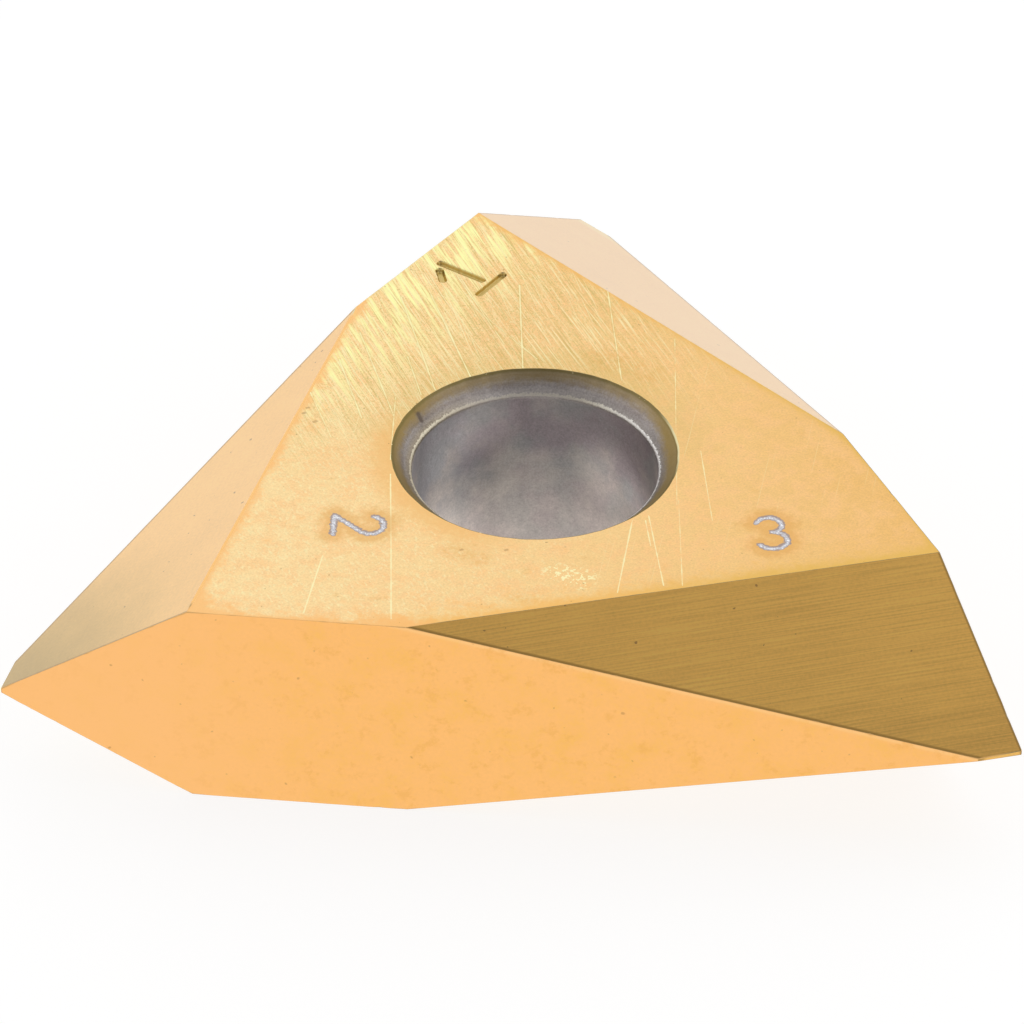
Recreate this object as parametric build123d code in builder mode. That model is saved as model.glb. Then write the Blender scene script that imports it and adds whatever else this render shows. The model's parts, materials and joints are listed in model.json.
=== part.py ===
from build123d import *
from math import cos, radians, sin, tan
import os

# On-edge triangular threading insert: one piece of cemented carbide, ground and coated, with a
# bore for its clamping screw.
# Origin: on the bore axis, half way through the thickness. +Z runs along the bore.
# The three flat sides are the rake faces, and the first of them faces -Y. Every corner is ground
# to a V profile with a narrow nose flat. A V's cutting edges lie in the rake face at whose end
# it stands, so on the first rake face the V points to -X.

# ---- Driving dimensions, in mm and degrees --------------------------------------------------
corner_count = 3
inscribed_circle = 12.4         # circle that the three ground rake faces touch
thickness = 4.76                # between the two seating faces
bore_diameter = 5.16            # clearance for the clamping screw
bore_chamfer = 0.42             # 45 degree chamfer at both mouths of the bore
bore_rim_radius = 0.12          # rounding between each chamfer and the bore wall

tip_reach = 10.34               # from the bore's centre line to the nose, along a rake face
profile_half_angle = 30.8       # between a cutting edge and the mid-plane of the insert
flank_clearance = 5.5           # how far a flank leans back from square to its rake face
nose_width = 0.11               # flat crest of the V, between its two cutting edges
nose_clearance = 8.5            # how far the nose flat leans back from square to its rake face
edge_hone = 0.03                # radius that honing leaves along every outer edge

# ---- Worked out from the driving dimensions -------------------------------------------------
rake_distance = inscribed_circle / 2
half_angle = radians(profile_half_angle)
flank_lean = radians(flank_clearance)
nose_lean = radians(nose_clearance)
apex_reach = tip_reach + nose_width / 2 / tan(half_angle)   # where the cutting edges would meet
corner_turn = 360 / corner_count

# The ground faces of the first corner. A flank holds its cutting edge and leans back behind the
# rake face by the flank clearance, so it is square to neither the rake nor the seating faces.
apex = Vector(-apex_reach, -rake_distance, 0)
nose = Vector(-tip_reach, -rake_distance, 0)
flank_outward = Vector(-sin(half_angle), 0, cos(half_angle)) * cos(flank_lean)
flank_backward = Vector(0, sin(flank_lean), 0)
upper_flank_normal = flank_outward + flank_backward
lower_flank_normal = Vector(upper_flank_normal.X, upper_flank_normal.Y, -upper_flank_normal.Z)
nose_normal = Vector(-cos(nose_lean), sin(nose_lean), 0)


def ground_face(point, outward, corner):
    """Plane of one of the first corner's ground faces, turned about the bore to any corner."""
    turn = corner * corner_turn
    return Plane(origin=point.rotate(Axis.Z, turn), z_dir=outward.rotate(Axis.Z, turn))


with BuildPart() as insert_body:
    # Pressed and sintered blank: a triangular prism with its first side facing -Y.
    with BuildSketch():
        RegularPolygon(rake_distance, corner_count, major_radius=False, rotation=90)
    extrude(amount=thickness / 2, both=True)

    # Each corner is ground in three passes: two mirror-image flanks, then the nose between them.
    for corner in range(corner_count):
        split(bisect_by=ground_face(apex, upper_flank_normal, corner), keep=Keep.BOTTOM)
        split(bisect_by=ground_face(apex, lower_flank_normal, corner), keep=Keep.BOTTOM)
        split(bisect_by=ground_face(nose, nose_normal, corner), keep=Keep.BOTTOM)
    fillet(insert_body.edges(), radius=edge_hone)

    # Bore for the clamping screw, chamfered at both mouths, with the rims inside them rounded.
    Hole(radius=bore_diameter / 2)
    mouths = insert_body.edges(Select.LAST).filter_by(GeomType.CIRCLE)
    chamfer(mouths, length=bore_chamfer)
    rims = insert_body.edges(Select.LAST).filter_by(GeomType.CIRCLE).group_by(SortBy.RADIUS)[0]
    fillet(rims, radius=bore_rim_radius)

insert_body.part.label = "insert_body"

os.makedirs("parts", exist_ok=True)
export_step(insert_body.part, "parts/insert_body.step")
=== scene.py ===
"""Looks of a ground, gold-coated threading insert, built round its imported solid.

The insert is one skin. Its flats are the fourteen planes of the ground form. Between them run the
roundings that honing and brushing leave, the bore is a profile carried round its axis, and each
index mark is a fine sheet let into the upper seating face. Lengths are in metres, and in
millimetres inside the materials.
"""
import json
from itertools import combinations

import bpy
import numpy as np
from mathutils import Matrix, Vector
from mathutils.geometry import delaunay_2d_cdt


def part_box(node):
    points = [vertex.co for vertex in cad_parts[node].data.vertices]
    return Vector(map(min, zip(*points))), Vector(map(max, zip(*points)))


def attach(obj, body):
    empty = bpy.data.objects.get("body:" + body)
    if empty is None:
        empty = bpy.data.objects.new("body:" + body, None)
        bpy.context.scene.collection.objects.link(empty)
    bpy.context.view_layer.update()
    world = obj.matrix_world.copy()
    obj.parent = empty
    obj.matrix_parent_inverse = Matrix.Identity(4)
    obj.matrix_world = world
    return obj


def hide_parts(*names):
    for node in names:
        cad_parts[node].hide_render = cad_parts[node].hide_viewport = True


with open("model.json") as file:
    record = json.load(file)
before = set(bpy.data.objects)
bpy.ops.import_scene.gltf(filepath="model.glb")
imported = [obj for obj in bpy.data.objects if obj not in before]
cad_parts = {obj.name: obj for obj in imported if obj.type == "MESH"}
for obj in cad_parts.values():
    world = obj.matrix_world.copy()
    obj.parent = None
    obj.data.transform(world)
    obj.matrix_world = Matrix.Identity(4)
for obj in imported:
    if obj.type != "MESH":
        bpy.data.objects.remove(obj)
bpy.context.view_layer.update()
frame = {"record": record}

MM = 0.001

# ---- Sizes, from the frame where it holds them ----
low_corner, high_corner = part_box("insert_body")
HALF_THICKNESS = high_corner.z
RAKE_DISTANCE = -low_corner.y  # bore axis to each rake face

CORNERS = 3
TIP_REACH = 10.34 * MM  # bore's centre line to the nose, along a rake face
HALF_ANGLE = np.radians(30.8)  # cutting edge to mid-plane
FLANK_CLEARANCE = np.radians(5.5)
NOSE_CLEARANCE = np.radians(8.5)
NOSE_WIDTH = 0.11 * MM

HONE = 0.02 * MM  # radius along the outer edges
KEEN_HONE = 0.006 * MM  # and round the first rake face
BRUSHED_HONE = (0.13 * MM, 0.02 * MM, 0.04 * MM)  # seat-to-flank edges, corner by corner
HONE_STEPS = 5  # facets across a rounding
HONE_SPAN = 0.05  # and its width in the surface map
EDGE_PITCH = 0.07 * MM  # spacing of the rows along an edge
EDGE_FADE = 0.5 * MM  # length over which an edge comes to its own radius
WANDER_SCALE = 0.9 * MM  # sets the wavelengths of its wavering
EDGE_NICK = 0.07 * MM  # reach of a small nick along an edge
NICK_SPACING = 2.2 * MM  # length of edge for each
WELD = 1e-8  # points nearer than this are one

BORE = next(mount for mount in frame["record"]["mounts"] if mount["name"] == "bore")
BORE_RADIUS = BORE["dims"]["r_mm"] * MM
BORE_CHAMFER = 0.42 * MM  # 45 degree chamfer at both mouths
RIM_RADIUS = 0.12 * MM  # rounding between chamfer and bore wall
MOUTH_HONE = 0.03 * MM  # rounding between chamfer and seating face
MOUTH_WAVER = 0.0042 * MM  # height of the waver round the mouths
BORE_COLUMNS = 360
NICK_ANGLE, NICK_WIDTH, NICK_DEPTH = np.radians(154.5), 0.026, 0.018 * MM  # in the upper chamfer

PRESSED_HALF_WIDTH, PRESSED_WALL, PRESSED_DEPTH = 0.098 * MM, 0.045 * MM, 0.09 * MM
ETCHED_HALF_WIDTH, ETCHED_WALL, ETCHED_DEPTH = 0.068 * MM, 0.03 * MM, 0.012 * MM
RIDGE_HALF_WIDTH = 0.035 * MM  # of the ridge in the middle of an etched stroke
SHEET_PITCH = 0.0155 * MM  # spacing of the points of a mark's sheet
RAGGED_WAVE = 0.09 * MM  # wavelength of the raggedness of a stroke
STROKE_CORE = 0.02 * MM  # reach of the middle of a stroke, which isn't ragged

rng = np.random.default_rng(11)

RAKE, FLANK, SEAT, EDGE, BARE = range(5)  # the finishes, in the order of the material slots


# ---- Small vector helpers ----
def unit(vectors):
    """Each vector divided by its own length."""
    return vectors / np.linalg.norm(vectors, axis=-1, keepdims=True)


def turned(vector, corner):
    """A vector of the first corner, turned about the bore to another corner."""
    angle = 2 * np.pi * corner / CORNERS
    cos, sin = np.cos(angle), np.sin(angle)
    x, y, z = vector
    return np.array([cos * x - sin * y, sin * x + cos * y, z])


def smooth(x):
    """0 below 0, 1 above 1, and 3x^2 - 2x^3 between them."""
    x = np.clip(x, 0.0, 1.0)
    return x * x * (3.0 - 2.0 * x)


def sweep(first, last, share):
    """Unit vectors from first to last, turning evenly: sines of the two remaining angles."""
    angle = np.arccos(np.clip(first @ last, -1.0, 1.0))
    share = np.asarray(share)[..., None]
    return (np.sin((1 - share) * angle) * first + np.sin(share * angle) * last) / np.sin(angle)


def wander(length, waves=9):
    """A smooth random line along an edge: sines of random phase, the longest the tallest."""
    counts = np.arange(1, waves + 1)[:, None]
    phases = rng.uniform(0, 2 * np.pi, (waves, 1))
    heights = rng.uniform(0.3, 1.0, (waves, 1)) / counts ** 0.6
    return (heights * np.sin(counts * 2.1 * length / WANDER_SCALE + phases)).sum(0) / 2.0


def flat_axes(outward):
    """Two directions in a plane: across is level and along climbs with the face, or X and Y."""
    level = np.cross([0.0, 0.0, 1.0], outward)
    if np.linalg.norm(level) < 1e-6:
        return np.array([1.0, 0.0, 0.0]), np.array([0.0, 1.0, 0.0])
    return unit(level), np.cross(outward, unit(level))


def inside(points, loop):
    """Which points a closed loop goes round: those with an odd number of its sides to the right."""
    start, end = loop, np.roll(loop, -1, axis=0)
    spans = (start[:, 1] > points[:, 1:]) != (end[:, 1] > points[:, 1:])
    rise = np.where(end[:, 1] == start[:, 1], 1.0, end[:, 1] - start[:, 1])
    at = start[:, 0] + (points[:, 1:] - start[:, 1]) * (end[:, 0] - start[:, 0]) / rise
    return (spans & (points[:, :1] < at)).sum(1) % 2 == 1


# ---- The skin ----
# The parts of the marks attribute hold, in mm, the distance to a pressed and to an etched stroke
# and the radius of an edge, and FAR where there is none.
PRESSED, ETCHED, HONED = range(3)
FAR = 1.0


class Skin:
    """Grids and flats of one closed skin, joined where their rims share points."""

    def __init__(self):
        self.parts, self.count = [], 0

    def add(self, points, normals, surface, triangles, finish, marks=None):
        """Triangles over a list of points, each turned so that it faces along its normals."""
        a, b, c = (points[triangles[:, k]] for k in range(3))
        facing = np.einsum("ij,ij->i", np.cross(b - a, c - a), normals[triangles].sum(1))
        triangles = np.where(facing[:, None] < 0, triangles[:, ::-1], triangles) + self.count
        marks = np.full((len(points), 3), FAR) if marks is None else marks
        finishes = np.full(len(triangles), finish)
        self.parts.append((points, normals, surface, marks, triangles, finishes))
        self.count += len(points)

    def grid(self, points, normals, surface, finish, marks=None):
        """A sheet of rows and columns of points, each cell cut into two triangles."""
        rows, columns = points.shape[:2]
        index = np.arange(rows * columns).reshape(rows, columns)
        a, b, c, d = index[:-1, :-1], index[1:, :-1], index[1:, 1:], index[:-1, 1:]
        cells = np.stack([np.stack([a, b, c], -1), np.stack([a, c, d], -1)])
        self.add(points.reshape(-1, 3), normals.reshape(-1, 3), surface.reshape(-1, 2),
                 cells.reshape(-1, 3), finish, None if marks is None else marks.reshape(-1, 3))

    def flat(self, outward, loops, finish):
        """A flat inside its first loop of points and outside the others."""
        points = np.concatenate(loops)
        across, along = flat_axes(outward)
        in_plane = np.stack([points @ across, points @ along], -1) / MM
        ends = np.cumsum([0] + [len(loop) for loop in loops])
        spans = list(zip(ends, ends[1:]))
        sides = [(k, k + 1 if k + 1 < j else i) for i, j in spans for k in range(i, j)]
        corners = [Vector(point) for point in in_plane]
        _, _, faces, origins, _, _ = delaunay_2d_cdt(corners, sides, [], 1, 0.0)
        triangles = np.array([[origins[k][0] for k in face] for face in faces])
        middles = in_plane[triangles].mean(1)
        kept = inside(middles, in_plane[spans[0][0]:spans[0][1]])
        for i, j in spans[1:]:
            kept &= ~inside(middles, in_plane[i:j])
        self.add(points, np.broadcast_to(outward, points.shape), in_plane, triangles[kept], finish)

    def mesh(self, name, materials):
        """One Blender mesh, its rims welded, with the worked-out normals and the surface map."""
        points, normals, surface, marks, triangles, finishes = (
            np.concatenate(part) for part in zip(*self.parts))
        _, first, welded = np.unique(
            np.round(points / WELD).astype(np.int64), axis=0, return_index=True,
            return_inverse=True)
        joined = welded.reshape(-1)[triangles]
        whole = (joined != np.roll(joined, 1, axis=1)).all(1)
        joined, corners = joined[whole], triangles[whole]
        mesh = bpy.data.meshes.new(name)
        mesh.from_pydata(points[first], [], joined)
        mesh.polygons.foreach_set("material_index", finishes[whole].astype(np.int32))
        mesh.polygons.foreach_set("use_smooth", np.ones(len(joined), bool))
        mesh.uv_layers.new(name="surface").uv.foreach_set("vector", surface[corners].ravel())
        mesh.attributes.new("marks", "FLOAT_VECTOR", "POINT").data.foreach_set(
            "vector", marks[first].ravel())
        for material in materials:
            mesh.materials.append(material)
        mesh.normals_split_custom_set_from_vertices(unit(normals[first]))
        mesh.update()
        return mesh


# ---- The ground form ----
def ground_planes():
    """Outward normal and distance from the origin of each of the fourteen flats, by name.

    A flank holds the cutting edge that leaves the apex at the half angle, and leans back behind
    the rake face by its clearance. The nose leans back by its own clearance.
    """
    planes = {"seat_top": (np.array([0.0, 0.0, 1.0]), HALF_THICKNESS),
              "seat_bottom": (np.array([0.0, 0.0, -1.0]), HALF_THICKNESS)}
    apex = np.array([-TIP_REACH - NOSE_WIDTH / 2 / np.tan(HALF_ANGLE), -RAKE_DISTANCE, 0.0])
    nose = np.array([-TIP_REACH, -RAKE_DISTANCE, 0.0])
    flank = np.array([-np.sin(HALF_ANGLE) * np.cos(FLANK_CLEARANCE), np.sin(FLANK_CLEARANCE),
                      np.cos(HALF_ANGLE) * np.cos(FLANK_CLEARANCE)])
    crest = np.array([-np.cos(NOSE_CLEARANCE), np.sin(NOSE_CLEARANCE), 0.0])
    for corner in range(CORNERS):
        planes[f"rake_{corner}"] = (turned(np.array([0.0, -1.0, 0.0]), corner), RAKE_DISTANCE)
        planes[f"upper_flank_{corner}"] = (turned(flank, corner), flank @ apex)
        planes[f"lower_flank_{corner}"] = (turned(flank * (1, 1, -1), corner), flank @ apex)
        planes[f"nose_{corner}"] = (turned(crest, corner), crest @ nose)
    return planes


def meeting_points(corner):
    """The triples of flats that meet round one corner of the triangle.

    The corner's V stands at the end of its own rake face and at the start of the one before.
    """
    own, before = f"rake_{corner}", f"rake_{(corner - 1) % CORNERS}"
    for half, seat in (("upper", "seat_top"), ("lower", "seat_bottom")):
        flank = f"{half}_flank_{corner}"
        for rake in (own, before):
            yield seat, rake, flank
            yield flank, rake, f"nose_{corner}"


def solve_at(names, planes, inset=0.0):
    """The point where three flats meet, each first moved inwards by the inset."""
    normals = np.array([planes[name][0] for name in names])
    return np.linalg.solve(normals, np.array([planes[name][1] for name in names]) - inset)


def hone_radius(names, from_start, from_end):
    """Radius along an edge: the plain hone, opened out by brushing and by small nicks."""
    window = smooth(from_start / EDGE_FADE) * smooth(from_end / EDGE_FADE)
    radius = HONE * (1.0 + 0.28 * wander(from_start) * window)
    flanks = [name for name in names if "flank" in name]
    if flanks and any("seat" in name for name in names):
        brushed = BRUSHED_HONE[int(flanks[0][-1])]
        radius += (brushed - HONE) * window * (1.0 + 0.22 * wander(from_start))
    elif "rake_0" in names:
        radius += (KEEN_HONE - HONE) * window
    length = from_start[-1]
    for place in rng.uniform(0.05, 0.95, int(length / NICK_SPACING)):
        nick = np.exp(-((from_start - place * length) / EDGE_NICK) ** 2)
        radius += rng.uniform(0.2, 0.9) * HONE * nick * window
    return np.maximum(radius, KEEN_HONE)


def honed_form(skin, planes, holes, finish_of):
    """The flats, the roundings along their edges and the small ball at each of their corners.

    A rounding is the path of a ball inside the form: its centre runs along the edge at one radius
    from both flats, and the skin is the centre plus the radius times a direction that turns from
    one flat's normal to the other's. Where three flats meet, the ball stands still and its
    direction sweeps over the triangle between the three normals.
    """
    corners = {frozenset(names): names for k in range(CORNERS) for names in meeting_points(k)}
    share = np.linspace(0.0, 1.0, HONE_STEPS + 1)
    rims = {}
    for one, other in combinations(corners, 2):
        shared = sorted(one & other)
        if len(shared) != 2:
            continue
        n1, n2 = (planes[name][0] for name in shared)
        bisector = (n1 + n2) / (1.0 + n1 @ n2)
        ends = [solve_at(corners[key], planes, HONE) + HONE * bisector for key in (one, other)]
        length = np.linalg.norm(ends[1] - ends[0])
        run = np.linspace(0.0, 1.0, max(3, int(length / EDGE_PITCH)) + 1)
        radius = hone_radius(shared, run * length, (1 - run) * length)
        radius[[0, -1]] = HONE
        edge = ends[0] + run[:, None] * (ends[1] - ends[0])
        centre = edge - radius[:, None] * bisector
        outward = np.broadcast_to(sweep(n1, n2, share), (len(run), HONE_STEPS + 1, 3))
        points = centre[:, None] + radius[:, None, None] * outward
        along = run[:, None] * length / MM
        surface = np.stack(np.broadcast_arrays(along, share * HONE_SPAN), -1)
        marks = np.full(points.shape, FAR)
        marks[..., HONED] = radius[:, None] / MM
        skin.grid(points, outward, surface, EDGE, marks)
        for name, rim in zip(shared, (points[:, 0], points[:, -1])):
            rims[name, one, other] = rim
            rims[name, other, one] = rim[::-1]
    for key, names in corners.items():
        n1, n2, n3 = (planes[name][0] for name in sorted(key))
        outward = np.stack([sweep(n1, far, share) for far in sweep(n2, n3, share)], 1)
        points = solve_at(names, planes, HONE) + HONE * outward
        skin.grid(points, outward, np.zeros(points.shape[:2] + (2,)), EDGE)
    for name, (normal, _) in planes.items():
        around = [key for key in corners if name in key]
        middle = np.mean([solve_at(corners[key], planes) for key in around], 0)
        across, along = flat_axes(normal)
        spokes = [solve_at(corners[key], planes) - middle for key in around]
        order = np.argsort([np.arctan2(spoke @ along, spoke @ across) for spoke in spokes])
        ring = [around[k] for k in order]
        outline = np.concatenate([rims[name, a, b] for a, b in zip(ring, ring[1:] + ring[:1])])
        fresh = np.linalg.norm(outline - np.roll(outline, 1, axis=0), axis=1) > WELD
        skin.flat(normal, [outline[fresh]] + holes.get(name, []), finish_of(name))


# ---- The bore ----
def rounding(corner, first, last, radius, steps):
    """Points and normals of a rounding between two lines of a profile that meet at a corner."""
    first, last = unit(np.array(first, float)), unit(np.array(last, float))
    centre = np.array(corner) - radius * (first + last) / (1.0 + first @ last)
    outward = sweep(first, last, np.linspace(0.0, 1.0, steps + 1))
    return centre + radius * outward, outward


def bore_profile():
    """Radius and height down the bore, from one seating face to the other, with the normals."""
    mouth = (BORE_RADIUS + BORE_CHAMFER, HALF_THICKNESS)
    rim = (BORE_RADIUS, HALF_THICKNESS - BORE_CHAMFER)
    lip, lip_out = rounding(mouth, (0, 1), (-1, 1), MOUTH_HONE, 6)
    edge, edge_out = rounding(rim, (-1, 1), (-1, 0), RIM_RADIUS, 10)
    cone = lip[-1] + np.linspace(0.0, 1.0, 13)[1:-1, None] * (edge[0] - lip[-1])
    wall = edge[-1] + np.linspace(0.0, 1.0, 22)[1:-1, None] * (edge[-1] * (0, -2))
    upper = np.concatenate([lip, cone, edge])
    upper_out = np.concatenate([lip_out, np.tile(lip_out[-1], (len(cone), 1)), edge_out])
    wall_out = np.tile([-1.0, 0.0], (len(wall), 1))
    flip = np.array([1, -1])
    return (np.concatenate([upper, wall, upper[::-1] * flip]),
            np.concatenate([upper_out, wall_out, upper_out[::-1] * flip]))


def bore_skin(skin):
    """The bore's profile carried round its axis; returns the rims at the two seating faces.

    The radius wavers a little round the mouth and along the rim, as pressing leaves it, and one
    nick is sunk across the upper chamfer.
    """
    profile, outward = bore_profile()
    angle = np.linspace(0.0, 2 * np.pi, BORE_COLUMNS + 1)
    counts = np.arange(3, 70)[:, None]
    phases = rng.uniform(0, 2 * np.pi, (len(counts), 1))
    heights = rng.uniform(0.2, 1.0, (len(counts), 1)) / counts ** 0.5
    waver = (heights * np.sin(counts * angle + phases)).sum(0)
    depth = HALF_THICKNESS - np.abs(profile[:, 1:])
    near_mouth = 1.0 - smooth(depth / (1.6 * BORE_CHAMFER))
    nick = smooth(depth / (0.1 * MM)) * (1.0 - smooth((depth - 0.2 * MM) / (0.12 * MM)))
    across = np.exp(-((angle - NICK_ANGLE) / NICK_WIDTH) ** 2)
    nick = NICK_DEPTH * nick * (profile[:, 1:] > 0) * across
    radius = profile[:, :1] + MOUTH_WAVER * near_mouth * waver + nick
    height = profile[:, 1:] - nick
    points = np.stack([radius * np.cos(angle), radius * np.sin(angle), height], -1)
    points[:, -1] = points[:, 0]
    plain = np.stack([outward[:, :1] * np.cos(angle), outward[:, :1] * np.sin(angle),
                      np.broadcast_to(outward[:, 1:], radius.shape)], -1)
    ring = points[:, :-1]
    round_it = np.roll(ring, -1, axis=1) - np.roll(ring, 1, axis=1)
    normals = unit(np.cross(round_it, np.gradient(ring, axis=0)))
    normals = np.concatenate([normals, normals[:, :1]], 1)
    normals *= np.sign((normals * plain).sum(-1, keepdims=True))
    normals[[0, -1]] = plain[[0, -1]]
    travel = np.concatenate([[0], np.cumsum(np.linalg.norm(np.diff(profile, axis=0), axis=1))])
    surface = np.stack(np.broadcast_arrays(angle * BORE_RADIUS / MM, travel[:, None] / MM), -1)
    skin.grid(points, normals, surface, BARE)
    return points[0, :-1], points[-1, :-1]


# ---- Index marks ----
def arc(centre, radii, start, end, steps=20):
    """Points of an elliptical arc from one angle to another, in degrees."""
    angle = np.radians(np.linspace(start, end, steps + 1))[:, None]
    heading = np.concatenate([np.cos(angle), np.sin(angle)], 1)
    return np.array(centre) + np.array(radii) * heading


# Each mark is one plain numeral, 1 high with its foot at the origin, as strokes of points.
ONE = [np.array([(0.05, 0.20), (0.05, 0.97)]), np.array([(-0.30, 0.68), (-0.115, 0.87)]),
       np.array([(-0.27, 0.02), (0.35, 0.02)])]
TWO = [np.concatenate([arc((0.0, 0.73), (0.29, 0.27), 165, -38), [(-0.29, 0.0), (0.32, 0.0)]])]
THREE = [arc((-0.02, 0.755), (0.25, 0.245), 155, -78),
         arc((-0.02, 0.27), (0.29, 0.27), 84, -155)]


def stroke_distance(places, strokes):
    """Distance from each place to the nearest stroke, which is a chain of straight links."""
    nearest = np.full(places.shape[:-1], np.inf)
    for stroke in strokes:
        for start, end in zip(stroke, stroke[1:]):
            link = end - start
            share = np.clip((places - start) @ link / (link @ link), 0.0, 1.0)
            gap = np.linalg.norm(places - start - share[..., None] * link, axis=-1)
            nearest = np.minimum(nearest, gap)
    return nearest


def sheet_noise(places, wavelength, waves=40):
    """Smooth random heights of about 1 over a plane: sines that run in random directions."""
    heading = rng.uniform(0, 2 * np.pi, waves)
    length = wavelength * rng.uniform(0.6, 2.2, waves)
    phase = rng.uniform(0, 2 * np.pi, waves)
    across = places @ (np.stack([np.cos(heading), np.sin(heading)]) * 2 * np.pi / length)
    return np.sin(across + phase).sum(-1) / np.sqrt(waves / 2)


def mark_sheet(skin, strokes, height, centre, top, size, depth_at, kind, ragged):
    """Lets a fine level sheet into the upper seating face and sinks one numeral into it.

    The sheet is a grid of columns and rows round the numeral. The depth at a point is a function
    of its distance from the nearest stroke, which a little noise makes ragged, and the normals
    come from the differences between neighbours. Returns the sheet's rim.
    """
    columns, rows = (int(extent * MM / SHEET_PITCH) for extent in size)
    u = (np.arange(columns + 1) - columns / 2) * SHEET_PITCH
    v = (np.arange(rows + 1) - rows / 2) * SHEET_PITCH
    grid = np.stack(np.meshgrid(u, v, indexing="ij"), -1)
    up = np.array([np.cos(np.radians(top)), np.sin(np.radians(top))])
    right = np.array([up[1], -up[0]])
    scaled = [(stroke - (0.0, 0.5)) * height * MM for stroke in strokes]
    distance = stroke_distance(grid, scaled)
    ragged = ragged * MM * sheet_noise(grid, RAGGED_WAVE) * smooth(distance / STROKE_CORE)
    distance = np.maximum(distance + ragged, 0.0)
    depth = depth_at(distance)
    flat = grid @ np.stack([right, up]) + np.array(centre) * MM
    points = np.concatenate([flat, (HALF_THICKNESS - depth)[..., None]], -1)
    lean_u, lean_v = np.gradient(depth, SHEET_PITCH)
    lean = lean_u[..., None] * right + lean_v[..., None] * up
    normals = unit(np.concatenate([lean, np.ones(depth.shape + (1,))], -1))
    marks = np.full(depth.shape + (3,), FAR)
    marks[..., kind] = np.minimum(distance / MM, FAR)
    skin.grid(points, normals, flat / MM, SEAT, marks)
    rim = [points[:-1, 0], points[-1, :-1], points[:0:-1, -1], points[0, :0:-1]]
    return np.concatenate(rim)


def pressed_depth(distance):
    """A groove with a nearly level floor and a steep wall that ends in a small soft lip."""
    return PRESSED_DEPTH * smooth((PRESSED_HALF_WIDTH - distance) / PRESSED_WALL)


def etched_depth(distance):
    """Two shallow burnt tracks side by side, with a low ridge between them."""
    track = smooth((ETCHED_HALF_WIDTH - distance) / ETCHED_WALL)
    return ETCHED_DEPTH * track * (0.25 + 0.75 * smooth(distance / RIDGE_HALF_WIDTH))


# Strokes, height in mm, centre in mm, heading of the numeral's top in degrees, width and height of
# its sheet in mm, profile, kind, and raggedness in mm.
INDEX_MARKS = [
    (ONE, 1.42, (-2.20, 6.26), 151, (1.35, 2.0), pressed_depth, PRESSED, 0.0025),
    (TWO, 1.03, (-3.35, -2.90), 4, (1.50, 1.95), etched_depth, ETCHED, 0.010),
    (THREE, 1.06, (5.12, -2.22), 103, (1.50, 1.95), etched_depth, ETCHED, 0.010),
]


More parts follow.
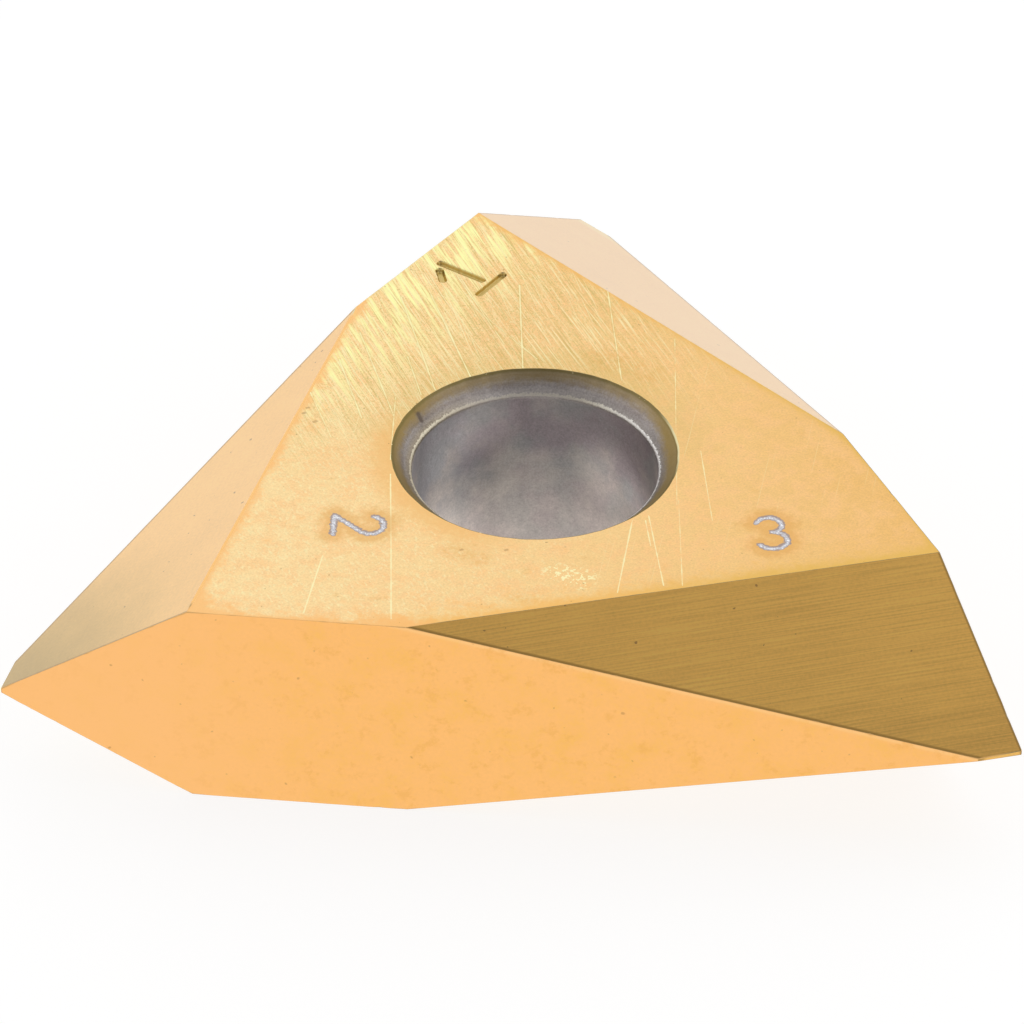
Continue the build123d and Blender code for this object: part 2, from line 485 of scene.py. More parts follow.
# ---- Shader maths ----
class Term:
    """One output of a shader tree. Each operator on it adds the Math node that works it out."""

    def __init__(self, tree, socket):
        self.tree, self.socket = tree, socket

    def __add__(self, other):
        return self.tree.math("ADD", self, other)

    def __sub__(self, other):
        return self.tree.math("SUBTRACT", self, other)

    def __rsub__(self, other):
        return self.tree.math("SUBTRACT", other, self)

    def __mul__(self, other):
        return self.tree.math("MULTIPLY", self, other)

    def __truediv__(self, other):
        return self.tree.math("DIVIDE", self, other)

    __radd__ = __add__
    __rmul__ = __mul__

    def step(self, low, high, start=0.0, end=1.0):
        """Goes smoothly from start to end while this term goes from low to high."""
        return self.tree.node(
            "ShaderNodeMapRange", {"interpolation_type": "SMOOTHSTEP"},
            {"Value": self, "From Min": low, "From Max": high, "To Min": start, "To Max": end})

    def blend(self, first, second):
        """From one colour to another by this share; a colour is a Term or three linear values."""
        values = {0: self}
        for socket, colour in ((6, first), (7, second)):
            values[socket] = colour if isinstance(colour, Term) else (*colour, 1.0)
        return self.tree.node("ShaderNodeMix", {"data_type": "RGBA"}, values, output=2)

    def over(self, *layers):
        """This colour with others laid over it in turn, each given by its share and its colour."""
        colour = self
        for share, layer in layers:
            colour = share.blend(colour, layer)
        return colour

    def times(self, factor):
        """This colour or vector with all its parts multiplied by a factor."""
        return self.tree.scaled(self, factor)

    def parts(self):
        """The three parts of this vector."""
        split = self.tree.node("ShaderNodeSeparateXYZ", values={0: self})
        return [Term(self.tree, socket) for socket in split.socket.node.outputs]

    def vectors(self, operation, other, output="Vector"):
        """A Vector Math node on this vector and another."""
        return self.tree.node(
            "ShaderNodeVectorMath", {"operation": operation}, {0: self, 1: other}, output)

    def along(self, direction):
        """How far this vector reaches along a direction: their dot product."""
        return self.vectors("DOT_PRODUCT", direction, "Value")

    def distance(self, other):
        """The distance from this place to another."""
        return self.vectors("DISTANCE", other, "Value")

    def noise(self, scale, detail, roughness, shift=0.0):
        """Fractal noise, about 0.5 in the middle; a shift takes it from another place."""
        place = self.vectors("ADD", (shift, shift * 0.7, shift * 1.3)) if shift else self
        return self.tree.node(
            "ShaderNodeTexNoise", {"noise_dimensions": "3D"},
            {"Vector": place, "Scale": scale, "Detail": detail, "Roughness": roughness})

    def lines(self, degrees, length, width, detail, roughness, shift=0.0):
        """The same noise drawn out along a heading, into lines of about a length and a width."""
        drawn = self.tree.node("ShaderNodeMapping", {"vector_type": "TEXTURE"},
                               {"Vector": self, "Rotation": (0.0, 0.0, np.radians(degrees)),
                                "Scale": (length, width, 1.0)})
        return drawn.noise(1.0, detail, roughness, shift)

    def scratch_gap(self, start, end):
        """Distance in the map from a straight scratch between two places.

        The place's share along the scratch is held between 0 and 1, and what is left of its
        offset is its distance from the scratch.
        """
        link = np.subtract(end, start)
        offset = self.vectors("SUBTRACT", (*start, 0.0))
        share = offset.along((*(link / (link @ link)), 0.0))
        share = self.tree.node("ShaderNodeClamp", values={"Value": share})
        return offset.distance(self.tree.scaled((*link, 0.0), share))

    def scratch(self, start, end, half_width):
        """1 on a straight scratch in the map between two places, fading to 0 at its sides."""
        return self.scratch_gap(start, end).step(half_width, 0.3 * half_width)


class Tree:
    """The node tree of a material or of the world."""

    def __init__(self, owner):
        owner.use_nodes = True
        self.nodes, self.links = owner.node_tree.nodes, owner.node_tree.links
        self.nodes.clear()

    def node(self, kind, settings=None, values=None, output=0):
        """Adds a node: its settings first, then a value or a link for each socket; one output."""
        node = self.nodes.new(kind)
        for name, setting in (settings or {}).items():
            setattr(node, name, setting)
        for name, value in (values or {}).items():
            if isinstance(value, Term):
                self.links.new(value.socket, node.inputs[name])
            else:
                node.inputs[name].default_value = value
        return Term(self, node.outputs[output]) if node.outputs else None

    def math(self, operation, *terms):
        """A Math node on terms or plain numbers."""
        return self.node("ShaderNodeMath", {"operation": operation}, dict(enumerate(terms)))

    def scaled(self, vector, factor):
        """A vector with all its parts multiplied by a factor."""
        return self.node(
            "ShaderNodeVectorMath", {"operation": "SCALE"}, {0: vector, "Scale": factor})

    def surface(self):
        """The surface map, in millimetres along the surface."""
        return self.node("ShaderNodeUVMap", {"uv_map": "surface"})

    def place(self):
        """Object coordinates in millimetres."""
        return self.node("ShaderNodeTexCoord", output="Object").times(1 / MM)

    def marks(self):
        """The parts of the marks attribute."""
        marks = self.node("ShaderNodeAttribute", {"attribute_name": "marks"}, output="Vector")
        return marks.parts()

    def bump(self, height, distance):
        """The surface's normal, leant by a height of 0 to 1 that stands for a distance."""
        return self.node(
            "ShaderNodeBump", values={"Height": height, "Distance": distance, "Strength": 1.0})

    def ray(self, kind):
        """1 for one kind of ray, and 0 for the others."""
        return self.node("ShaderNodeLightPath", output=kind)


def coat(name, make):
    """A material of metal, unless its maker, which gives the shader's values, says otherwise."""
    material = bpy.data.materials.new(name)
    tree = Tree(material)
    shader = tree.node(
        "ShaderNodeBsdfPrincipled", {"distribution": "MULTI_GGX"}, {"Metallic": 1.0, **make(tree)})
    tree.node("ShaderNodeOutputMaterial", values={"Surface": shader})
    return material


# ---- Wear and dirt, placed one by one, in mm ----
# How far brushing and rubbing reach in from the sides and the corners of the seating face.
BRUSHED_SIDES = {"upper_flank_0": 0.2, "rake_0": 0.2}
BRUSHED_CORNERS = {("rake_0", "upper_flank_0"): 0.42, ("rake_2", "upper_flank_2"): 0.45,
                   ("rake_2", "upper_flank_0"): 0.12, ("rake_0", "upper_flank_1"): 0.3}
RUBBED_SIDES = {"upper_flank_1": 0.34, "upper_flank_2": 0.14, "rake_1": 0.08}
# Long scratches on the upper seating face: from, to, and strength.
LONG_SCRATCHES = [
    ((-3.45, 5.28), (-2.33, 1.97), 0.9), ((-2.83, 5.46), (-1.64, 2.53), 0.9),
    ((-2.53, 6.56), (-1.05, 3.79), 0.6), ((-1.89, 5.12), (-0.3, 3.33), 0.5),
    ((-4.49, 2.85), (-3.75, 0.8), 0.7), ((-4.17, 3.87), (-3.08, 0.93), 0.7),
    ((-3.05, 3.1), (-2.6, 1.75), 0.6), ((-4.95, 1.6), (-4.3, 0.05), 0.6),
    ((-0.96, 6.01), (-0.57, 2.98), 1.0), ((-2.91, -1.1), (-2.62, -3.4), 0.9),
    ((-2.62, -3.4), (-2.31, -5.95), 0.9), ((-3.13, 1.6), (-2.97, -0.6), 0.6),
    ((-3.95, -4.02), (-4.09, -5.95), 1.0), ((2.23, -2.12), (2.15, -4.57), 0.9),
    ((2.55, -1.92), (3.06, -4.23), 0.8), ((2.5, -2.09), (2.68, -2.93), 0.7),
    ((3.43, 0.45), (3.87, -1.94), 0.5), ((0.95, 6.05), (1.56, 2.75), 0.6),
    ((2.55, 4.4), (3.1, -1.5), 0.35), ((3.12, -1.33), (3.44, -4.19), 0.4),
]
# Groups of short bright streaks: heading in degrees, length, width, the noise's low and high bound,
# strength, and where they lie.
STREAKS = [
    (-64.0, 2.6, 0.034, 0.61, 0.67, 0.85, "glint_zone"), (-59.5, 3.2, 0.026, 0.63, 0.68, 0.8, "ruled"),
    (-69.5, 3.6, 0.028, 0.65, 0.7, 0.7, "ruled"),
    (-94.0, 4.0, 0.028, 0.72, 0.76, 0.4, "everywhere"),
]
# Smudges: from, to, half width, and strength.
SMUDGES = [
    ((1.03, 3.55), (2.1, 3.05), 0.55, 0.45), ((-1.35, -3.55), (-0.75, -3.75), 0.4, 0.4),
    ((0.1, -4.95), (0.45, -5.05), 0.25, 0.3),
]
# Dark specks: place and half width; how far each reaches from its place; and their strength.
SPECKS = [((-4.99, 0.82), 0.055), ((-4.72, 0.55), 0.06), ((-4.94, 1.02), 0.045),
          ((-1.17, -3.52), 0.045), ((-0.26, -3.42), 0.045)]
SPECK_REACH = (0.03, 0.02)
SPECK_STRENGTH = 0.45
# A patch of small bright dents, and the nick in the bore's own map: from, to, and half width.
BRUISE = ((0.9, -4.1), (1.35, -4.2), 0.5)
NICK = ((6.95, 0.19), (6.99, 0.33), 0.08)
# Paler and darker clouds on the bore's wall: centre, reach, and gain in brightness.
WALL_CLOUDS = [
    ((1.4, 2.17, 0.3), 1.15, 0.5), ((-1.34, 2.2, 1.45), 0.95, 0.5),
    ((-2.1, 1.5, 1.2), 1.0, 0.28), ((-1.38, 2.18, 0.0), 1.4, -0.12),
    ((2.23, 1.3, 0.1), 0.9, 0.4),
]

# ---- Colours, in linear values ----
GOLD = (0.982, 0.514, 0.17)  # the coating on a lapped face
AMBER_GOLD = (0.93, 0.5, 0.115)  # in its faint clouds
PALE_GOLD = (1.0, 0.62, 0.27)  # in a line beside one flank
TIP_GOLD = (0.99, 0.53, 0.205)  # towards the first tip
SMUDGED_GOLD = (0.88, 0.44, 0.11)
PINHOLE = (0.45, 0.23, 0.08)
OLIVE = (0.95, 0.54, 0.122)  # on a coarsely ground face
LIT_ROSE = (1.0, 0.63, 0.275)  # painted light: the flank coat as it looks lit at a low angle, on the last corner and partly the first
TIP_SHADE_OLIVE = (0.84, 0.6, 0.155)  # painted shade, towards the first tip
LEMON = (1.0, 0.86, 0.42)  # where it meets the flank below
# painted shade: a brown line on each flank along its cutting edge
CUTTING_EDGE_SHADE = (0.4, 0.22, 0.05)
BLOOM = (1.0, 0.94, 0.86, 1.0)  # seen at a low angle
STRAW = (0.975, 0.725, 0.365)  # on the seating face, at its palest, where painted light leaves it at the left
HONEY = (0.872, 0.52, 0.176)  # and at its deepest, painted shade towards the right
PEACH = (0.985, 0.59, 0.27)  # where the coating is a little thicker
ORANGE = (0.98, 0.54, 0.195)  # brushed thin along the edges
DEEP_GOLD = (0.92, 0.52, 0.145)  # rubbed along the sharp long edge, at its left
YELLOW = (0.8, 0.495, 0.112)  # and at its right
RING_GOLD = (0.9, 0.52, 0.18)  # beside the bore, in front on the left
GLINT = (1.0, 0.99, 0.45)  # painted highlight, where the grinding lines glint
PALE = (1.0, 0.9, 0.52)  # in flecks and in streaks
BRIGHT = (1.0, 0.93, 0.53)  # in long scratches
DENT = (1.0, 0.93, 0.52)
DRAB = (0.56, 0.43, 0.12)  # the bottoms of the grinding lines, and the painted shadow beside the bore
TAN = (0.76, 0.42, 0.11)  # stains
BROWN = (0.33, 0.17, 0.06)  # pits and specks
ASH = (0.33, 0.29, 0.31)  # burnt tracks beside an etched ridge
CINDER = (0.55, 0.54, 0.58)  # the ridge, where it is dark
SILVER = (0.95, 0.96, 0.98)  # and where it is bright
AMBER = (0.78, 0.41, 0.11)  # coating tinted by heat
KHAKI = (0.62, 0.46, 0.16)  # floor of a pressed mark: its own unground coating, darkened further as painted shade of the groove
SHADED_HONED_EDGE = (0.42, 0.29, 0.11)  # an edge that was only honed, painted dark as shade
FRONT_EDGE = (1.0, 0.58, 0.2)  # a honed edge, lowest in front, left without the painted shade
BACK_EDGE = (1.0, 0.72, 0.38)  # and high at the back
CHIPS_AND_HIGHLIGHT = (1.0, 0.9, 0.55)  # pale: where an edge or a mouth has chipped, and painted highlight on the mouth's lip at its right
BRUSHED = (0.95, 0.53, 0.18)  # an edge brushed wide
BRUSHED_PALE = (0.98, 0.6, 0.24)
SLATE = (0.345, 0.335, 0.33)  # bare carbide on the bore's wall
MAUVE = (0.365, 0.315, 0.325)
STEEL = (0.365, 0.38, 0.4)  # painted light at its left
CLAY = (0.52, 0.46, 0.41)  # in its pale patches
WARM_CLAY = (0.54, 0.465, 0.41)  # and low down, painted light
CONE_DARK = (0.3, 0.26, 0.25)  # bare carbide on a chamfer
CONE_PALE = (0.44, 0.405, 0.395)
INNER_GREY = (0.5, 0.46, 0.44)  # painted light on a chamfer's inner half, behind
INNER_TAN = (0.5, 0.42, 0.3)  # painted light at its left
INNER_DARK = (0.33, 0.295, 0.27)  # and painted shade at its right
THIN_COAT = (0.37, 0.255, 0.07)  # the thin coating at a mouth
MOUTH = (0.2, 0.16, 0.04)
HIGHLIGHT_FRINGE = (0.8, 0.77, 0.74)  # painted highlight, fading out beside the rim
# painted highlight on the rim
RIM_HIGHLIGHT = (0.93, 0.86, 0.68)
RIM_HIGHLIGHT_WHITE = (1.0, 0.97, 0.94)  # painted highlight on the rim at its right
NICK_DARK = (0.13, 0.1, 0.08)  # dark in the nick


# ---- Finishes ----
def plane_gap(tree, place, names):
    """How far inside the nearest of the named planes a place is, in millimetres."""
    nearest = None
    for name in names:
        normal, distance = ground_planes()[name]
        gap = distance / MM - place.along(tuple(normal))
        nearest = gap if nearest is None else tree.math("MINIMUM", nearest, gap)
    return nearest


def rake_finish(tree):
    """Lapped and coated: even, with faint clouds, a few pinholes and a paler line by one flank."""
    surface, place = tree.surface(), tree.place()
    x, _, _ = place.parts()
    clouds = surface.noise(1.1, 5.0, 0.65)
    fine = surface.noise(11.0, 3.0, 0.6, 3.0)
    holes = surface.noise(6.5, 1.0, 0.4, 7.0).step(0.755, 0.82)
    smudges = surface.noise(2.6, 4.0, 0.75, 14.0).step(0.53, 0.68)
    beside = plane_gap(tree, place, ["upper_flank_1"]).step(0.11, 0.03)
    cloudy = (clouds + 0.5 * (fine - 0.5)).step(0.44, 0.72)
    colour = (0.6 * cloudy).blend(GOLD, AMBER_GOLD).times(0.945 + 0.11 * fine)
    colour = colour.over(
        (0.5 * beside, PALE_GOLD), (0.55 * smudges, SMUDGED_GOLD),
        (0.7 * x.step(-3.0, -8.0), TIP_GOLD), (0.5 * holes, PINHOLE))
    return {"Base Color": colour, "Roughness": 0.26 + 0.08 * fine}


def flank_finish(tree):
    """Coarsely ground and coated: level lines, a few pinholes, and a pale bloom at a low angle.

    Towards the first corner's tip the coating is painted darker and duller, as shade, and the last
    corner's is painted palest, as lit at a low angle. Along the rake faces the lines end in a brown
    line of painted shade.
    """
    surface, place = tree.surface(), tree.place()
    x, y, z = place.parts()
    lines = surface.lines(1.0, 2.6, 0.034, 2.0, 0.6)
    clouds = surface.noise(0.9, 3.0, 0.6, 2.0)
    fine = surface.noise(14.0, 2.0, 0.6, 5.0)
    last = x.step(-3.6, -2.6) * y.step(0.0, 1.0)
    first = x.step(-3.6, -4.2) * y.step(6.0, 5.0)
    between = (1.0 - first) * (1.0 - last)
    speckled = first * z.step(0.6, 1.6)
    holes = (surface.noise(7.0, 1.0, 0.4, 11.0) + 0.022 * speckled).step(0.79, 0.81)
    from_tip = place.distance((-TIP_REACH / MM, -RAKE_DISTANCE / MM, 0.0))
    # Painted shade: darker and duller towards the first tip
    tip_shade = (from_tip + 0.8 * (clouds - 0.5)).step(5.4, 0.2)
    shade = (1.0 + (0.1 + 0.52 * between) * (lines - 0.5) + 0.16 * (clouds - 0.5)
             + 0.28 * (fine - 0.5) - 0.12 * between * z.step(1.1, 0.2))
    # Painted light: the last flank, and partly the first, get the coat as it looks lit at a low
    # angle
    colour = (0.62 * first + last).blend(OLIVE, LIT_ROSE).over((0.6 * tip_shade, TIP_SHADE_OLIVE))
    colour = colour.times(shade * (1.0 - 0.42 * tip_shade))
    # Painted shade along the rake faces
    cutting_edge_shade = plane_gap(tree, place, [f"rake_{k}" for k in range(CORNERS)])
    colour = colour.over(
        (0.5 * last * z.step(0.26, 0.1), LEMON), (0.8 * cutting_edge_shade.step(0.07, 0.03), CUTTING_EDGE_SHADE),
        (0.75 * holes, BROWN))
    return {"Base Color": colour, "Roughness": 0.28,
            "Sheen Weight": 0.78, "Sheen Roughness": 0.5, "Sheen Tint": BLOOM}


def seat_side(name):
    """The line in which a flat meets the seating face: its level normal and distance, in mm."""
    normal, distance = ground_planes()[name]
    slant = np.hypot(normal[0], normal[1])
    across = (normal[0] / slant, normal[1] / slant)
    return across, (distance - normal[2] * HALF_THICKNESS) / slant / MM


def edge_closeness(tree, surface, reaches):
    """A sum over sides of the seating face of a term that falls off with the distance in."""
    closeness = 0.0
    for name, reach in reaches.items():
        across, side = seat_side(name)
        height = surface.along((*across, 0.0))
        closeness = closeness + tree.math("EXPONENT", (height - side) / reach)
    return closeness


def corner_closeness(tree, surface, corners):
    """A sum over pairs of sides of a term that falls off with the distance from their corner."""
    closeness = 0.0
    for names, reach in corners.items():
        (n1, d1), (n2, d2) = (seat_side(name) for name in names)
        corner = np.linalg.solve([n1, n2], [d1, d2])
        gap = surface.distance((*corner, 0.0))
        closeness = closeness + tree.math("EXPONENT", gap / -reach)
    return closeness


def seat_finish(tree):
    """Finely ground and coated, scratched by handling, brushed at its edges, and marked, with
    painted glints at its upper left.
    """
    surface = tree.surface()
    x, y, _ = surface.parts()
    _, _, z = tree.place().parts()
    upper = z.step(0.0, 1.0)
    grain = surface.noise(22.0, 2.0, 0.6)
    mottle = surface.noise(7.0, 4.0, 0.7, 8.0)
    patches = surface.noise(2.4, 4.0, 0.65, 5.0)
    clouds = surface.noise(0.8, 4.0, 0.6, 4.0)
    from_left = 0.866 * x - 0.5 * y
    # The upper left of the seat by its sharp side, where glints are painted on as highlight
    glint_zone = from_left.step(-3.3, -5.6) * y.step(-0.5, 2.5)
    ruled = from_left.step(3.2, -2.6) * y.step(-2.0, 2.4)
    # Painted light and shade: pale at the left and deep towards the right, made uneven by clouds
    depth = tree.node(
        "ShaderNodeMapRange",
        values={"Value": x + 0.25 * y + 3.5 * (clouds - 0.5), "From Min": -6.0, "From Max": 8.0})
    flecks = surface.lines(-60.0, 0.13, 0.06, 3.0, 0.65, 1.0).step(0.5, 0.74)
    flecks = flecks * x.step(4.0, -3.0)
    stains = surface.noise(1.7, 5.0, 0.7, 6.5).step(0.6, 0.78)
    colour = depth.blend(STRAW, HONEY)
    colour = colour.over(
        (0.5 * patches.step(0.4, 0.66), PEACH), (0.55 * flecks, PALE), (0.4 * stains, TAN))
    # Grain and mottle vary the tone; the glint zone is also painted a little brighter, as highlight
    colour = colour.times(0.717 + 0.37 * grain + 0.185 * mottle + 0.06 * glint_zone)
    for start, end, half_width, share in SMUDGES:
        smudge = surface.scratch(start, end, half_width) * mottle.step(0.38, 0.62)
        colour = colour.over((share * smudge * upper, TAN))

    lines = surface.lines(-61.5, 1.3, 0.036, 4.0, 0.7, 2.0)
    cross = surface.lines(-56.0, 1.6, 0.032, 3.0, 0.7, 9.0)
    speckle = surface.noise(27.0, 2.0, 0.6, 17.0)
    # Painted highlight: bands of glinting grinding lines
    glint_bands = surface.lines(-62.0, 1.5, 0.15, 2.0, 0.5, 7.0)
    glint_bands = glint_bands.step(0.42, 0.58) * (0.2 + 0.8 * lines.step(0.38, 0.56))
    colour = colour.over(
        (0.56 * ruled * lines.step(0.47, 0.33), DRAB),
        (0.36 * ruled * cross.step(0.45, 0.32), DRAB),
        (0.62 * ruled * speckle.step(0.47, 0.33), DRAB),
        (0.72 * ruled * lines.step(0.53, 0.67), PALE), (glint_zone * glint_bands, GLINT))
    for heading, length, width, low, high, share, where in STREAKS:
        streak = surface.lines(heading, length, width, 2.0, 0.5, abs(heading) / 7.0)
        where = {"glint_zone": glint_zone, "ruled": ruled, "everywhere": 1.0}[where]
        colour = colour.over((share * streak.step(low, high) * where, PALE))
    from_axis = tree.math("SQRT", x * x + y * y)
    shadow = (from_axis + 0.5 * (patches - 0.5)).step(4.1, 3.0) * y.step(-1.0, 1.6)
    ring = (from_axis + 0.6 * (mottle - 0.5)).step(3.8, 3.05) * x.step(0.5, -1.5) * y.step(1.5, 0.0)

    uneven = 0.9 * (mottle - 0.5) + 1.1 * (patches - 0.5)
    rubbed = edge_closeness(tree, surface, RUBBED_SIDES) + uneven
    rubbed_gold = x.step(0.0, 6.0).blend(DEEP_GOLD, YELLOW)
    brushed = (edge_closeness(tree, surface, BRUSHED_SIDES)
               + corner_closeness(tree, surface, BRUSHED_CORNERS) + uneven)
    pits = surface.noise(10.0, 1.0, 0.4, 13.0).step(0.765, 0.8)
    dents = surface.noise(13.0, 1.0, 0.5, 15.0).step(0.58, 0.63) * surface.scratch(*BRUISE)
    nearest = 1.0
    for start, end, strength in LONG_SCRATCHES:
        gap = surface.scratch_gap(start, end) + 0.014 * (1.0 - strength)
        nearest = tree.math("MINIMUM", nearest, gap)
    bright = (nearest + 0.04 * (patches - 0.5) + 0.02 * (mottle - 0.5)).step(0.022, 0.005)
    colour = colour.over(
        (0.22 * shadow, DRAB), (0.75 * ring, RING_GOLD),
        (0.88 * rubbed.step(0.08, 0.98), rubbed_gold), (0.8 * brushed.step(0.2, 0.92), ORANGE),
        (0.5 * pits, BROWN), (0.9 * dents * upper, DENT),
        (0.2 * nearest.step(0.05, 0.025) * ruled * upper, DRAB), (0.82 * bright * upper, BRIGHT))
    for place, half_width in SPECKS:
        speck = surface.scratch(place, np.add(place, SPECK_REACH), half_width)
        colour = colour.over((SPECK_STRENGTH * speck * upper, BROWN))

    pressed, etched, _ = tree.marks()
    ragged = 0.45 * (patches - 0.5) + 0.45 * (mottle - 0.5)
    ridge = (etched + 0.09 * (grain - 0.5)).step(0.058, 0.026)
    # The pressed mark's floor is darker, partly as painted shade of the groove
    colour = colour.over(
        (0.6 * (etched + ragged).step(0.46, 0.1), AMBER), (0.85 * etched.step(0.088, 0.062), ASH),
        (ridge, grain.step(0.45, 0.65).blend(CINDER, SILVER)),
        (0.9 * pressed.step(0.1, 0.08), KHAKI))
    return {"Base Color": colour, "Roughness": 0.3 + 0.08 * mottle,
            "Normal": tree.bump(mottle * 0.5 + lines * 0.5, 0.001 * MM)}


def edge_finish(tree):
    """Dark with painted shade where the edge was only honed, and a clean deep gold where it was
    brushed wider.
    """
    fine = tree.surface().noise(9.0, 3.0, 0.6)
    _, _, radius = tree.marks()
    x, y, z = tree.place().parts()
    brushed = radius.step(0.04, 0.12)
    # Painted shade darkens the honed edges, except low in front and high at the back
    honed = y.step(-5.9, -6.1).blend(SHADED_HONED_EDGE, FRONT_EDGE)
    behind = x.step(-2.5, -1.9).blend(CHIPS_AND_HIGHLIGHT, BACK_EDGE)
    honed = honed.over((y.step(1.3, 1.8) * z.step(2.2, 2.3), behind))
    colour = brushed.blend(honed, fine.blend(BRUSHED, BRUSHED_PALE))
    return {"Base Color": colour, "Metallic": brushed, "Roughness": 0.55 - 0.29 * brushed}


def bore_wall(tree, place, left, right, depth, down, fine, sparkle, patches):
    """The wall's colour: grey and mauve, paler in patches; painted light makes it paler low down
    and brighter at both sides, and painted shade darker a way in.
    """
    tints = place.noise(1.1, 3.0, 0.5, 12.0)
    streaks = tree.surface().lines(90.0, 3.5, 0.12, 2.0, 0.5, 3.0)
    pale = (patches + 0.14 * depth.step(0.8, 2.4)).step(0.44, 0.8)
    wall = tints.step(0.38, 0.62).blend(SLATE, MAUVE)
    wall = wall.over(
        (0.7 * left, STEEL), (0.65 * pale, CLAY), (0.5 * down.step(2.1, 3.4), WARM_CLAY))
    for centre, reach, gain in WALL_CLOUDS:
        gap = place.distance(centre) + 0.9 * (patches - 0.5)
        wall = wall.times(1.0 + gain * gap.step(reach, 0.2 * reach))
    # Painted light and shade: darker deeper in from the mouth, brighter low down and at both sides,
    # most at the left
    return wall.times((0.34 + 0.4 * patches + 0.42 * fine + 0.07 * streaks + 0.44 * sparkle)
                      * depth.step(0.4, 1.2, 0.9, 0.84) * down.step(2.3, 3.5, 1.0, 1.22)
                      * (1.0 + 0.6 * left + 0.1 * right))


def bore_finish(tree):
    """Bare carbide: coated thinly at the mouths, with a painted highlight at the rims, mottled on
    the wall.
    """
    place, surface = tree.place(), tree.surface()
    x, y, z = place.parts()
    depth = HALF_THICKNESS / MM - tree.math("ABSOLUTE", z)  # from the nearer mouth
    down = HALF_THICKNESS / MM - z  # from the upper mouth
    fine = place.noise(9.0, 3.0, 0.6, 6.0)
    sparkle = place.noise(26.0, 1.0, 0.5, 4.0)
    patches = place.noise(1.1, 4.0, 0.55, 2.0)
    rings = surface.lines(0.0, 0.9, 0.11, 3.0, 0.6)
    left, right = x.step(-1.0, -2.5), x.step(0.4, 2.4)
    behind, front = y.step(1.0, 2.2), y.step(-0.3, -1.9)

    # Painted light and shade on the chamfer: its inner half by side, and the cone brighter behind
    inner = left.blend(INNER_GREY, INNER_TAN).over((x.step(-0.3, 1.5), INNER_DARK))
    cone = rings.step(0.25, 0.8).blend(CONE_DARK, CONE_PALE)
    cone = cone.over((0.8 * depth.step(0.2, 0.4), inner))
    cone = cone.times(0.37 + 0.8 * sparkle + 0.46 * patches + 0.14 * behind - 0.06 * left)
    coated = (depth + 0.14 * (fine - 0.5) + 0.1 * (patches - 0.5)
              - 0.09 * (y - 0.35 * x).step(1.0, -0.6)).step(0.28, 0.08)
    wall = bore_wall(tree, place, left, right, depth, down, fine, sparkle, patches)

    # Painted highlight round the rim between chamfer and wall: whitest at the right, fainter
    # behind, with a fringe beside it at the right
    rim_depth = depth + 0.07 * (fine - 0.5) + 0.06 * (sparkle - 0.5)
    highlight_fringe = x.step(1.0, 2.4) * rim_depth.step(0.34, 0.42) * depth.step(0.45, 0.42)
    rim = (rim_depth + 0.06 * front).step(0.362, 0.385) * rim_depth.step(0.44, 0.41)
    share = 0.95 - behind * (0.2 + 0.4 * x.step(1.3, 0.5))
    # Chips round the mouth, and a painted highlight on its lip at the right
    chips_and_highlight = fine.step(0.66, 0.7) + x.step(2.4, 2.9) * y.step(-0.6, 0.2)
    chips_and_highlight = depth.step(0.035, 0.015) * tree.math("MINIMUM", chips_and_highlight, 1.0)
    colour = cone.over(
        (coated * (0.85 - 0.2 * behind), THIN_COAT), (0.6 * depth.step(0.07, 0.02), MOUTH),
        (depth.step(0.43, 0.5), wall), (0.6 * highlight_fringe, HIGHLIGHT_FRINGE),
        (rim * share, right.blend(RIM_HIGHLIGHT, RIM_HIGHLIGHT_WHITE)), (0.85 * chips_and_highlight, CHIPS_AND_HIGHLIGHT),
        (0.75 * surface.scratch(*NICK), NICK_DARK))
    return {"Base Color": colour, "Roughness": 0.46 + 0.12 * fine,
            "Normal": tree.bump(fine, 0.002 * MM)}


# ---- The insert ----
skin = Skin()
upper_rim, lower_rim = bore_skin(skin)
holes = {"seat_top": [upper_rim] + [mark_sheet(skin, *mark) for mark in INDEX_MARKS],
         "seat_bottom": [lower_rim]}


def finish_of(name):
    """The finish of a flat, from the first word of its name."""
    return {"rake": RAKE, "seat": SEAT}.get(name.split("_")[0], FLANK)


honed_form(skin, ground_planes(), holes, finish_of)
materials = [coat("lapped_gold_coat", rake_finish), coat("ground_gold_coat", flank_finish),
             coat("seat_gold_coat", seat_finish), coat("brushed_gold_edge", edge_finish),
             coat("bare_carbide", bore_finish)]
insert = bpy.data.objects.new("ground_insert", skin.mesh("ground_insert", materials))
bpy.context.collection.objects.link(insert)
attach(insert, "root")
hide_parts("insert_body")

# ---- Floor, light and camera ----
WHITE = (1.0, 1.0, 1.0, 1.0)
FLOOR_SIZE = 0.6
FLOOR_GAP = 0.01 * MM
FLOOR_PAPER = 0.80  # how much light the plain paper gives back
FLOOR_GLOW = 0.72  # share of the white that the eye sees without shadow
GLOW_LEVEL = 1.17  # and how strong it is


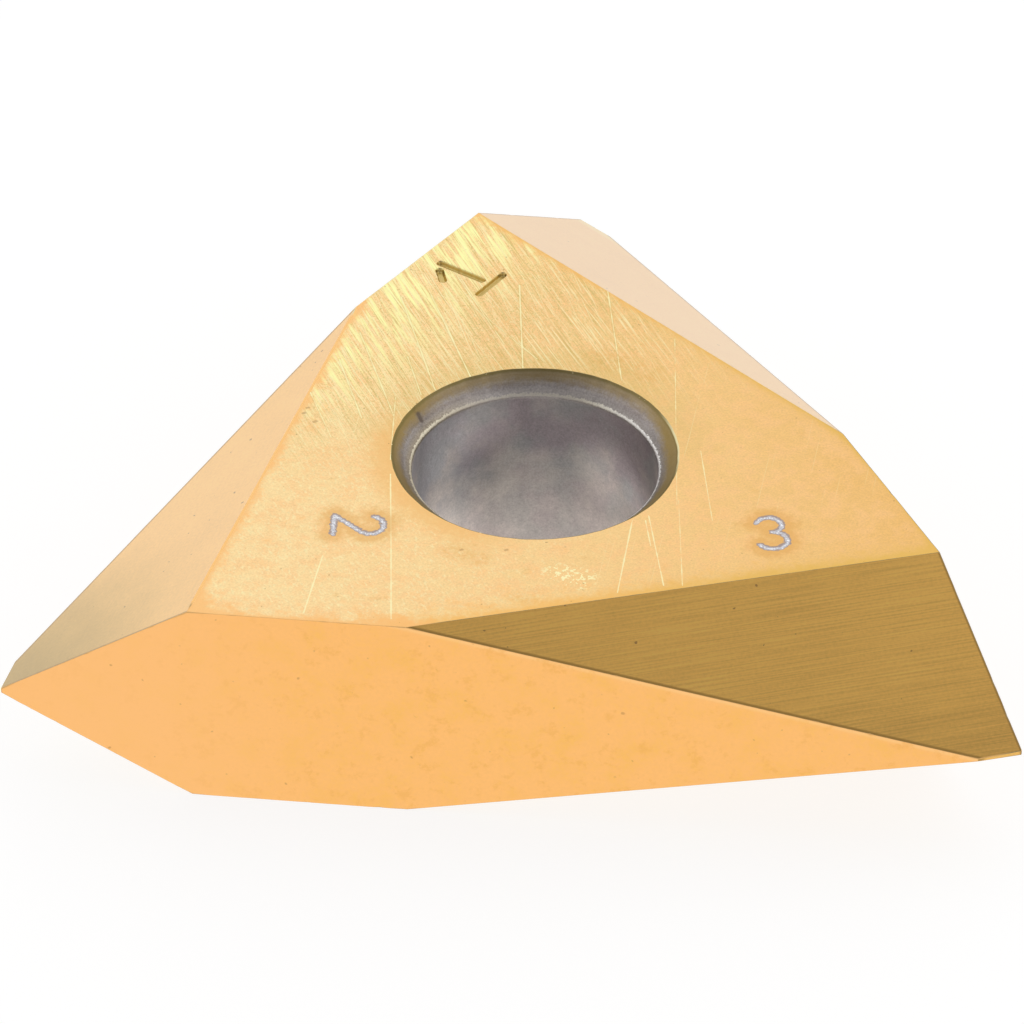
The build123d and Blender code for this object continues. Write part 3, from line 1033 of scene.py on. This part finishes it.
def stage_floor():
    """A pale floor: white to gloss, and to the eye a white glow over paper that keeps a shadow.

    It lies a hair below the insert, and from underneath it is clear.
    """
    material = bpy.data.materials.new("pale_floor")
    tree = Tree(material)
    seen = tree.ray("Is Camera Ray")
    mirrored = tree.math("MAXIMUM", tree.ray("Is Glossy Ray"), tree.ray("Is Transmission Ray"))
    glow = tree.node(
        "ShaderNodeEmission", values={"Color": WHITE, "Strength": mirrored + GLOW_LEVEL * seen})
    paper = tree.node("ShaderNodeBsdfDiffuse", values={"Color": (*[FLOOR_PAPER] * 3, 1.0)})
    shader = tree.node(
        "ShaderNodeMixShader", values={0: mirrored + FLOOR_GLOW * seen, 1: paper, 2: glow})
    underneath = tree.node("ShaderNodeNewGeometry", output="Backfacing")
    clear = tree.node("ShaderNodeBsdfTransparent")
    shader = tree.node("ShaderNodeMixShader", values={0: underneath, 1: shader, 2: clear})
    tree.node("ShaderNodeOutputMaterial", values={"Surface": shader})
    mesh = bpy.data.meshes.new("floor")
    half = FLOOR_SIZE / 2
    level = -HALF_THICKNESS - FLOOR_GAP
    mesh.from_pydata([(-half, -half, level), (half, -half, level), (half, half, level),
                      (-half, half, level)], [], [(0, 1, 2, 3)])
    mesh.materials.append(material)
    material.cycles.emission_sampling = "NONE"
    floor = bpy.data.objects.new("floor", mesh)
    bpy.context.collection.objects.link(floor)


DIM_HEADING = (0.0, -0.60, 0.80)  # towards the dark side of the light tent
DIM_REACH = 0.55  # cosine of the angle from it at which the tent begins to dim
DIM_LEVEL = 0.16


def light_tent():
    """A white tent all round the part, darker above its front, where the opening is."""
    world = bpy.data.worlds.new("light_tent")
    bpy.context.scene.world = world
    tree = Tree(world)
    heading = tree.node("ShaderNodeTexCoord", output="Generated")
    toward = heading.along(DIM_HEADING)
    level = toward.step(DIM_REACH, 1.0, 1.0, DIM_LEVEL)
    seen = tree.ray("Is Camera Ray")
    background = tree.node(
        "ShaderNodeBackground", values={"Color": WHITE, "Strength": seen + (1.0 - seen) * level})
    tree.node("ShaderNodeOutputWorld", values={"Surface": background})


AZIMUTH, ELEVATION, ROLL = np.radians((5.78447, 37.00664, 0.43179))
CAMERA_DISTANCE = 136.829 * MM
CAMERA_ASIDE, CAMERA_RISE = -0.46931 * MM, 0.65373 * MM
LENS = 227.965  # mm, on a 36 mm sensor


def place_camera():
    """Stands the camera back along its line of sight, aside and up, and rolls it a little."""
    back = np.array([np.sin(AZIMUTH) * np.cos(ELEVATION), -np.cos(AZIMUTH) * np.cos(ELEVATION),
                     np.sin(ELEVATION)])
    level = np.array([np.cos(AZIMUTH), np.sin(AZIMUTH), 0.0])
    above = np.cross(back, level)
    right = np.cos(ROLL) * level + np.sin(ROLL) * above
    up = np.cos(ROLL) * above - np.sin(ROLL) * level
    camera = bpy.data.objects.new("camera", bpy.data.cameras.new("camera"))
    bpy.context.collection.objects.link(camera)
    camera.data.lens = LENS
    camera.data.clip_start, camera.data.clip_end = 0.01, 5.0
    place = CAMERA_DISTANCE * back + CAMERA_ASIDE * right + CAMERA_RISE * up
    turn = Matrix(np.stack([right, up, back], 1).tolist()).to_4x4()
    camera.matrix_world = Matrix.Translation(place) @ turn
    bpy.context.scene.camera = camera


stage_floor()
light_tent()
place_camera()
bpy.context.scene.view_settings.view_transform = "Standard"
